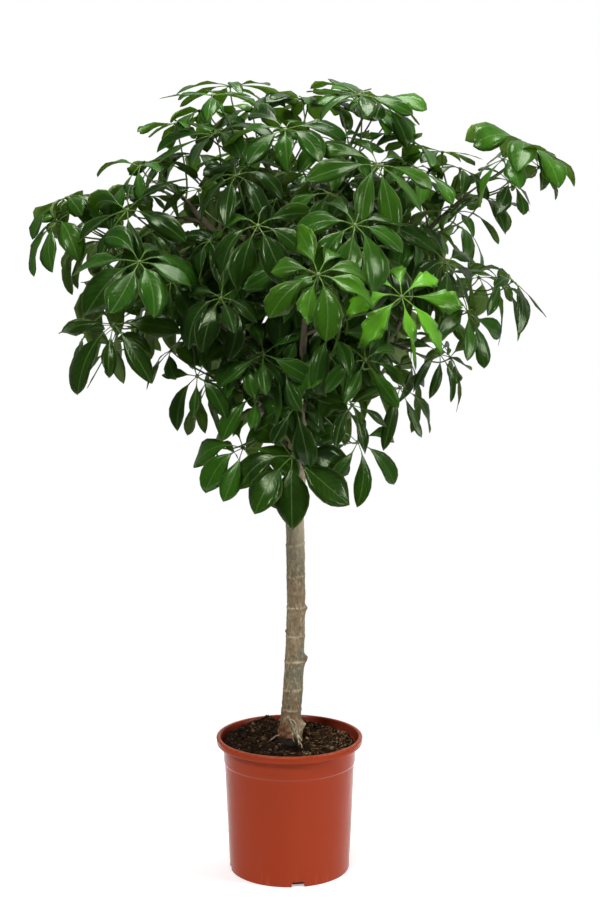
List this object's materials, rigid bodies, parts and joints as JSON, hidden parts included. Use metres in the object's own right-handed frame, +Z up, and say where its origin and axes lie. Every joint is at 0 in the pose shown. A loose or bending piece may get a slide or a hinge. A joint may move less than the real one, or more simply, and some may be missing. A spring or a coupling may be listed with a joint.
{
  "type": "potted umbrella plant",
  "caption": "Tall umbrella plant grown as a small tree in a round nursery pot: a bare woody trunk carries a wide crown of glossy leaves, each a ring of leaflets spread like umbrella ribs.",
  "frame": {"origin": "middle of the pot's underside, on the surface that the plant stands on", "axes": "+Z up along the trunk; -Y is the side that faces the camera in the picture; +X is to that side's right"},
  "size_m": [0.8694, 0.7891, 1.285],
  "materials": {
    "pot_plastic": "satin terracotta-coloured plastic with soft broad highlights",
    "potting_soil": "loose dark peat and bark crumbs, matt",
    "bark": "grey-brown mottled bark with ring scars, matt",
    "leaf": "glossy leathery dark green with a paler midrib",
    "young_leaf": "glossy bright yellow-green new growth"
  },
  "bodies": {
    "root": {"pot": "pot_plastic", "soil": "potting_soil", "trunk": "bark", "shoot_01": "young_leaf", "shoot_02": "leaf", "shoot_03": "leaf", "shoot_04": "leaf", "shoot_05": "leaf", "shoot_06": "leaf", "shoot_07": "leaf", "shoot_08": "leaf", "shoot_09": "leaf", "shoot_10": "leaf", "shoot_11": "leaf", "shoot_12": "leaf", "shoot_13": "young_leaf", "shoot_14": "leaf", "shoot_15": "leaf", "shoot_16": "young_leaf", "shoot_17": "leaf", "shoot_18": "leaf", "shoot_19": "young_leaf", "shoot_20": "leaf", "shoot_21": "leaf", "shoot_22": "leaf", "shoot_23": "leaf", "shoot_24": "leaf", "shoot_25": "leaf", "shoot_26": "leaf", "shoot_27": "leaf", "shoot_28": "leaf", "shoot_29": "leaf", "shoot_30": "leaf", "shoot_31": "leaf", "shoot_32": "leaf", "shoot_33": "leaf", "shoot_34": "leaf", "shoot_35": "leaf", "shoot_36": "leaf", "shoot_37": "leaf", "shoot_38": "leaf", "shoot_39": "leaf", "shoot_40": "leaf", "shoot_41": "leaf", "shoot_42": "leaf", "shoot_43": "leaf", "shoot_44": "leaf", "shoot_45": "leaf", "shoot_46": "leaf", "shoot_47": "leaf", "shoot_48": "leaf", "shoot_49": "leaf"}
  },
  "joints": []
}
